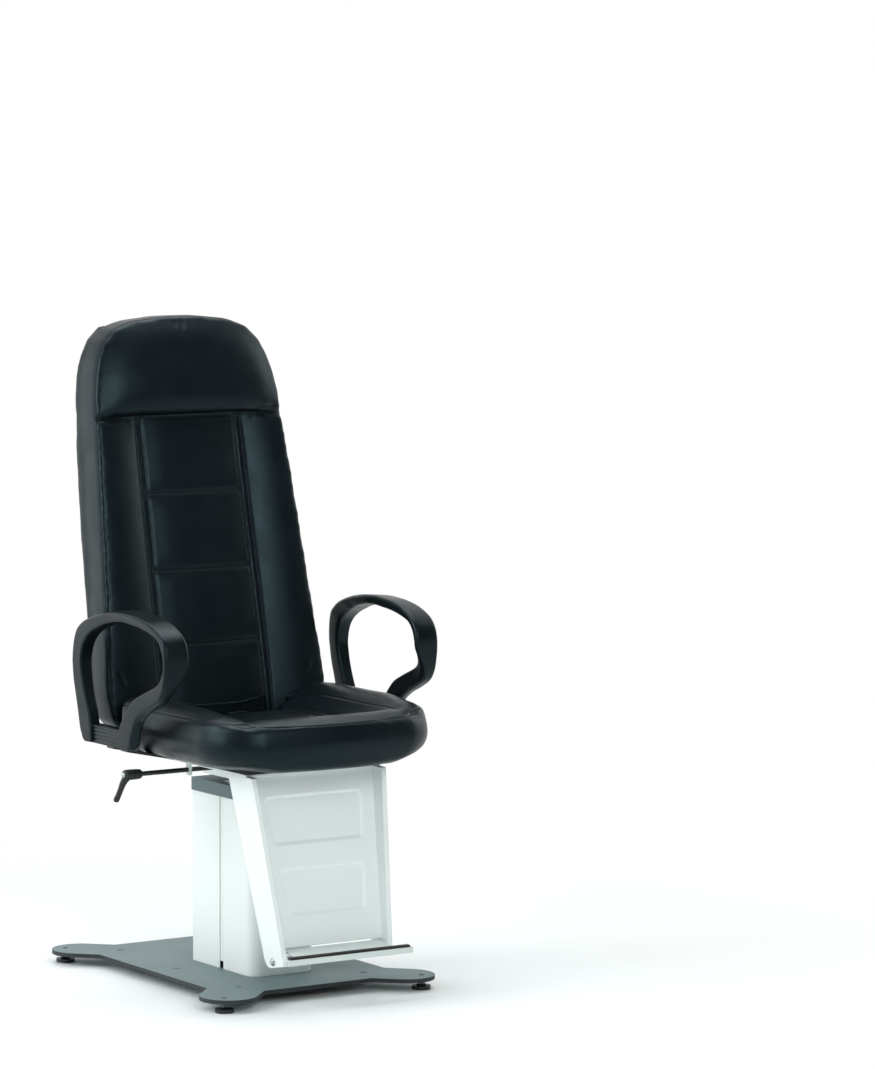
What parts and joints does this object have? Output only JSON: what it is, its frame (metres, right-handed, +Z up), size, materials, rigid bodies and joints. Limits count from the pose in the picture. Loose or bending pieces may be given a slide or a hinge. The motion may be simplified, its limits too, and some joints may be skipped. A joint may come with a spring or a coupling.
{
  "type": "ophthalmic examination chair",
  "caption": "High-back examination chair in black leatherette with loop armrests, white lifting column, footrest panel with tread, swivel lock lever and dark base plate on levelling feet.",
  "frame": {"origin": "on the floor under the middle of the whole chair; the swivel axis stands 19 mm in front of it", "axes": "+Z up; the sitter faces -Y; the sitter's left is +X"},
  "size_m": [0.604, 0.738, 1.268],
  "materials": {
    "leatherette_black": "semi-gloss leatherette",
    "foam_skin_black": "satin integral skin",
    "powder_white": "satin powder coat",
    "powder_anthracite": "fine-texture powder coat",
    "steel_black": "black coated",
    "strip_grey": "satin",
    "steel_zinc": "zinc plated",
    "steel_bare": "machined",
    "motor_grey": "painted",
    "aluminium_cast": "as cast",
    "bronze": "machined",
    "acetal_white": "natural",
    "plastic_black": "satin",
    "rubber_black": "ribbed",
    "plywood": "bare birch"
  },
  "bodies": {
    "base": {"base_plate": "powder_anthracite", "stiffener_plate": "steel_black", "guide_column": "steel_bare", "column_bolts": "steel_zinc", "front_shroud": "powder_white", "rear_shroud": "powder_white", "shroud_seam_strips": "strip_grey", "cable_gland": "plastic_black", "gearbox_housing": "aluminium_cast", "motor": "motor_grey", "spindle_bearing": "steel_bare", "upper_glide_pads": "acetal_white"},
    "lift": {"lift_tube": "steel_bare", "lower_glide_pads": "acetal_white", "push_tube": "aluminium_cast", "spindle_nut": "bronze", "top_plate": "steel_bare", "head_cap": "powder_anthracite", "swivel_post": "steel_bare", "swivel_screws": "steel_zinc", "thrust_washer": "acetal_white", "post_retainer": "steel_zinc"},
    "swivel": {"seat_cushion": "leatherette_black", "back_cushion": "leatherette_black", "armrest_left": "foam_skin_black", "armrest_right": "foam_skin_black", "swivel_housing": "powder_white", "seat_carrier": "powder_white", "footrest_panel": "powder_white", "tread": "powder_white", "arm_brackets": "steel_black", "back_bar": "steel_black", "seat_bolts": "steel_zinc", "panel_screws": "steel_zinc", "tread_bolts": "steel_zinc", "back_bar_bolts": "steel_zinc", "back_bar_screws": "steel_zinc", "arm_screws": "steel_zinc", "bracket_screws": "steel_zinc", "swivel_hub": "steel_bare", "seat_spacers": "aluminium_cast", "swivel_bushing": "bronze", "back_cover": "plastic_black", "tread_rubber": "rubber_black", "seat_board": "plywood", "back_board": "plywood"},
    "spindle_body": {"spindle": "steel_bare"},
    "lever": {"lever_rod": "steel_black", "lever_insert": "aluminium_cast", "lever_screw": "steel_zinc"},
    "handle": {"lever_handle": "plastic_black"},
    "brake": {"brake_shoe": "bronze"},
    "foot_front_left": {"foot_pad_front_left": "plastic_black", "foot_stud_front_left": "steel_zinc"},
    "foot_front_right": {"foot_pad_front_right": "plastic_black", "foot_stud_front_right": "steel_zinc"},
    "foot_rear_left": {"foot_pad_rear_left": "plastic_black", "foot_stud_rear_left": "steel_zinc"},
    "foot_rear_right": {"foot_pad_rear_right": "plastic_black", "foot_stud_rear_right": "steel_zinc"}
  },
  "joints": [
    {"name": "column_lift", "type": "slide", "parent": "base", "child": "lift", "axis": [0, 0, 1], "range_m": [0, 0.2]},
    {"name": "spindle_turn", "type": "hinge", "parent": "base", "child": "spindle_body", "pos_m": [0, -0.049, 0.2], "axis": [0, 0, 1], "range_deg": [0, 6000]},
    {"name": "seat_swivel", "type": "hinge", "parent": "lift", "child": "swivel", "pos_m": [0, -0.019, 0.4], "axis": [0, 0, 1], "continuous": true},
    {"name": "lever_turn", "type": "hinge", "parent": "swivel", "child": "lever", "pos_m": [-0.2, -0.019, 0.418], "axis": [1, 0, 0], "range_deg": [0, 60]},
    {"name": "handle_pull", "type": "slide", "parent": "lever", "child": "handle", "axis": [-1, 0, 0], "range_m": [0, 0.004], "stiffness_N_per_m": 600, "springref_m": -0.003},
    {"name": "brake_slide", "type": "slide", "parent": "swivel", "child": "brake", "axis": [1, 0, 0], "range_m": [0, 0.00025]},
    {"name": "foot_turn_front_left", "type": "hinge", "parent": "base", "child": "foot_front_left", "pos_m": [0.218, -0.273, 0.015], "axis": [0, 0, 1], "continuous": true},
    {"name": "foot_turn_front_right", "type": "hinge", "parent": "base", "child": "foot_front_right", "pos_m": [-0.218, -0.273, 0.015], "axis": [0, 0, 1], "continuous": true},
    {"name": "foot_turn_rear_left", "type": "hinge", "parent": "base", "child": "foot_rear_left", "pos_m": [0.218, 0.335, 0.015], "axis": [0, 0, 1], "continuous": true},
    {"name": "foot_turn_rear_right", "type": "hinge", "parent": "base", "child": "foot_rear_right", "pos_m": [-0.218, 0.335, 0.015], "axis": [0, 0, 1], "continuous": true}
  ],
  "couplings": [
    {"joint": "spindle_turn", "follows": "column_lift", "rad_per_m": 523.6},
    {"joint": "brake_slide", "follows": "lever_turn", "m_per_rad": 0.00023873}
  ]
}
